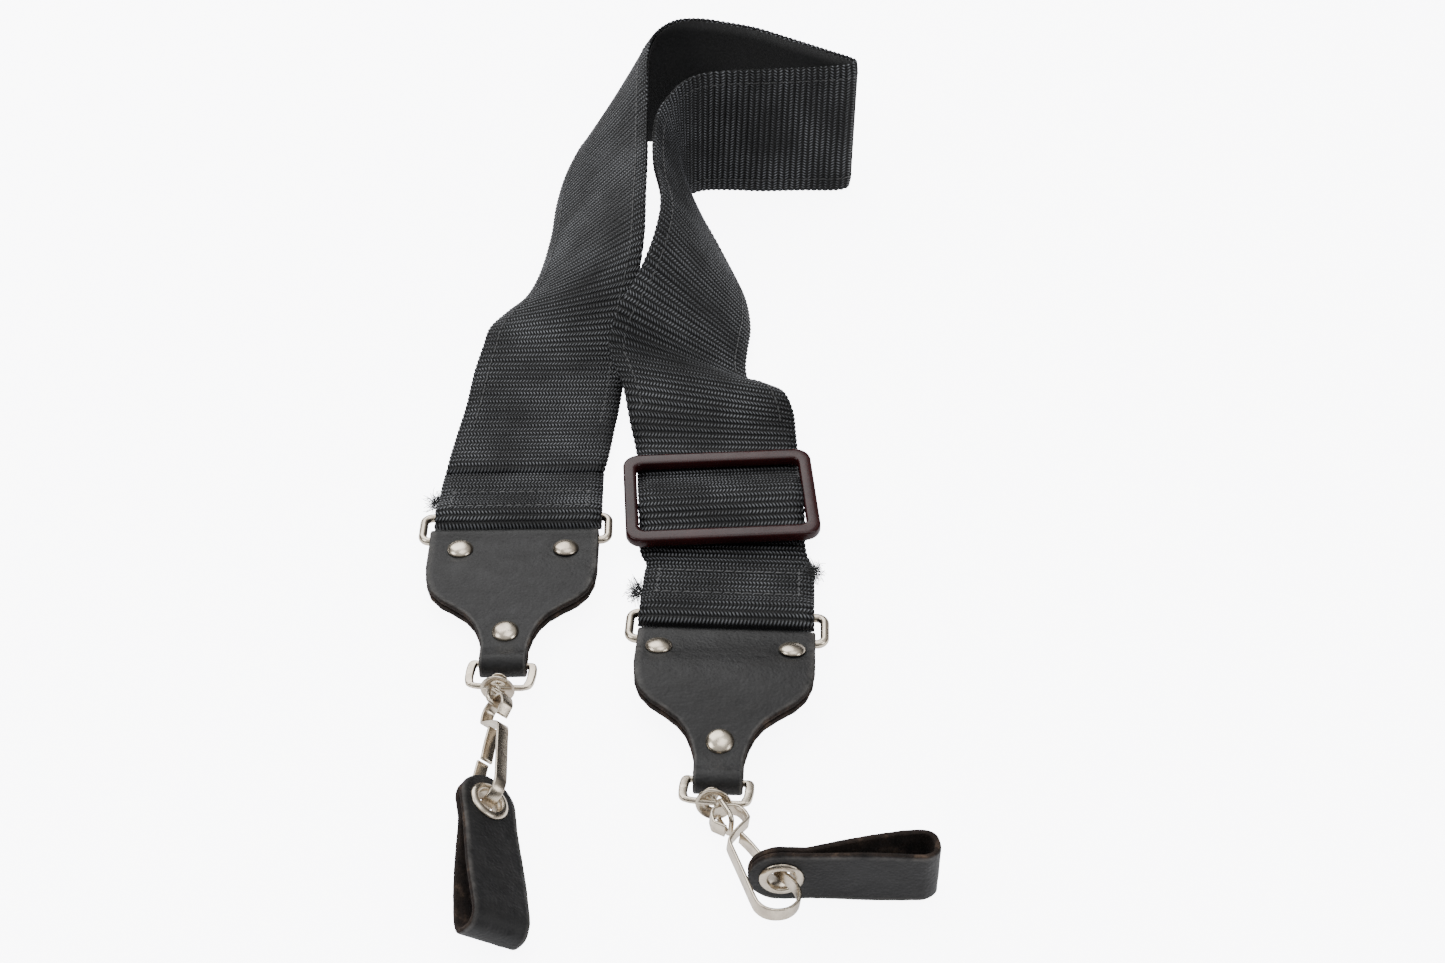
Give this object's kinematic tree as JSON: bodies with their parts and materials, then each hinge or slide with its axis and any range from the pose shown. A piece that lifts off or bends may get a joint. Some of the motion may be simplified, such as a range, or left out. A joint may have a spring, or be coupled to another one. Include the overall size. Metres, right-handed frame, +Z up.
{
  "type": "neck strap",
  "caption": "Webbing neck strap lying on its side, with a sliding adjuster, leather ends on wire rings and a swivel snap hook with a leather loop tab at each end.",
  "frame": {"origin": "middle of the footprint, on the surface the strap lies on", "axes": "+Y from the hooks towards the neck loop, the longest extent; +X towards the limb with the slider; +Z up, across the standing webbing"},
  "size_m": [0.145, 0.3966, 0.0499],
  "materials": {
    "ribbed_webbing": "ribbed woven polypropylene, dull with small highlights",
    "lining_cloth": "smooth matt cloth",
    "thread": "dark grey sewing thread",
    "black_leather": "satin coated hide, cut edges brown-grey",
    "nickel": "bright nickel plate, slightly warm",
    "brown_plastic": "glossy dark brown moulding"
  },
  "bodies": {
    "strap": {"webbing": "ribbed_webbing", "lining": "lining_cloth", "hem_stitching": "thread", "lining_stitching": "thread", "thread_tufts": "thread"},
    "slider": {"slider_frame": "brown_plastic", "slider_bar_cover": "ribbed_webbing"},
    "left_ring": {"left_ring": "nickel"},
    "left_end": {"left_leather_end": "black_leather", "left_rivet_caps": "nickel", "left_rivet_backs": "nickel"},
    "left_loop": {"left_strap_loop": "nickel"},
    "left_swivel": {"left_swivel_eye": "nickel"},
    "left_hook": {"left_hook": "nickel"},
    "left_gate": {"left_gate": "nickel"},
    "left_tab": {"left_tab": "black_leather", "left_eyelet": "nickel", "left_eyelet_washer": "nickel"},
    "right_ring": {"right_ring": "nickel"},
    "right_end": {"right_leather_end": "black_leather", "right_rivet_caps": "nickel", "right_rivet_backs": "nickel"},
    "right_loop": {"right_strap_loop": "nickel"},
    "right_swivel": {"right_swivel_eye": "nickel"},
    "right_hook": {"right_hook": "nickel"},
    "right_gate": {"right_gate": "nickel"},
    "right_tab": {"right_tab": "black_leather", "right_eyelet": "nickel", "right_eyelet_washer": "nickel"}
  },
  "joints": [
    {"name": "slider_slide", "type": "slide", "parent": "strap", "child": "slider", "axis": [-0.0645, 0.9979, 0], "range_m": [-0.005, 0.002]},
    {"name": "left_ring_swing", "type": "hinge", "parent": "strap", "child": "left_ring", "pos_m": [-0.04339, -0.04265, 0.005], "axis": [-0.9998, -0.0175, 0], "range_deg": [0, 45]},
    {"name": "left_end_swing", "type": "hinge", "parent": "left_ring", "child": "left_end", "pos_m": [-0.04321, -0.05315, 0.005], "axis": [-0.9998, -0.0175, 0], "range_deg": [-10, 40]},
    {"name": "left_loop_swing", "type": "hinge", "parent": "left_end", "child": "left_loop", "pos_m": [-0.04231, -0.10459, 0.005], "axis": [-0.9976, 0.0698, 0], "range_deg": [-15, 30]},
    {"name": "left_swivel_turn", "type": "hinge", "parent": "left_loop", "child": "left_swivel", "pos_m": [-0.04291, -0.11316, 0.00545], "axis": [-0.0703, 0.9534, -0.2935], "continuous": true},
    {"name": "left_hook_swing", "type": "hinge", "parent": "left_swivel", "child": "left_hook", "pos_m": [-0.04214, -0.12355, 0.00865], "axis": [-0.7568, 0.0266, 0.6531], "range_deg": [-20, 30]},
    {"name": "left_gate_flex", "type": "hinge", "parent": "left_hook", "child": "left_gate", "pos_m": [-0.04213, -0.13229, 0.00902], "axis": [-0.7568, 0.0266, 0.6531], "range_deg": [0, 10], "stiffness_Nm_per_rad": 0.02, "springref_deg": -5.73},
    {"name": "left_tab_swing", "type": "hinge", "parent": "left_hook", "child": "left_tab", "pos_m": [-0.0416, -0.1598, 0.0107], "axis": [0.6178, 0.0812, 0.7821], "range_deg": [-20, 40]},
    {"name": "right_ring_swing", "type": "hinge", "parent": "strap", "child": "right_ring", "pos_m": [0.01973, -0.08496, 0.005], "axis": [-0.999, 0.0436, 0], "range_deg": [0, 45]},
    {"name": "right_end_swing", "type": "hinge", "parent": "right_ring", "child": "right_end", "pos_m": [0.01927, -0.09545, 0.005], "axis": [-0.999, 0.0436, 0], "range_deg": [-10, 40]},
    {"name": "right_loop_swing", "type": "hinge", "parent": "right_end", "child": "right_loop", "pos_m": [0.01703, -0.14685, 0.005], "axis": [-0.9936, 0.1132, 0], "range_deg": [-15, 30]},
    {"name": "right_swivel_turn", "type": "hinge", "parent": "right_loop", "child": "right_swivel", "pos_m": [0.01607, -0.1552, 0.00679], "axis": [-0.3926, 0.9041, -0.169], "range_deg": [-30, 30]},
    {"name": "right_hook_swing", "type": "hinge", "parent": "right_swivel", "child": "right_hook", "pos_m": [0.02042, -0.16536, 0.00833], "axis": [0.1293, 0.1371, 0.9821], "range_deg": [-17, 17]},
    {"name": "right_gate_flex", "type": "hinge", "parent": "right_hook", "child": "right_gate", "pos_m": [0.02265, -0.16812, 0.00842], "axis": [-0.1293, -0.1371, -0.9821], "range_deg": [0, 10], "stiffness_Nm_per_rad": 0.02, "springref_deg": -5.73},
    {"name": "right_tab_swing", "type": "hinge", "parent": "right_hook", "child": "right_tab", "pos_m": [0.0326, -0.1799, 0.0089], "axis": [0, -1, 0], "range_deg": [0, 40]}
  ]
}
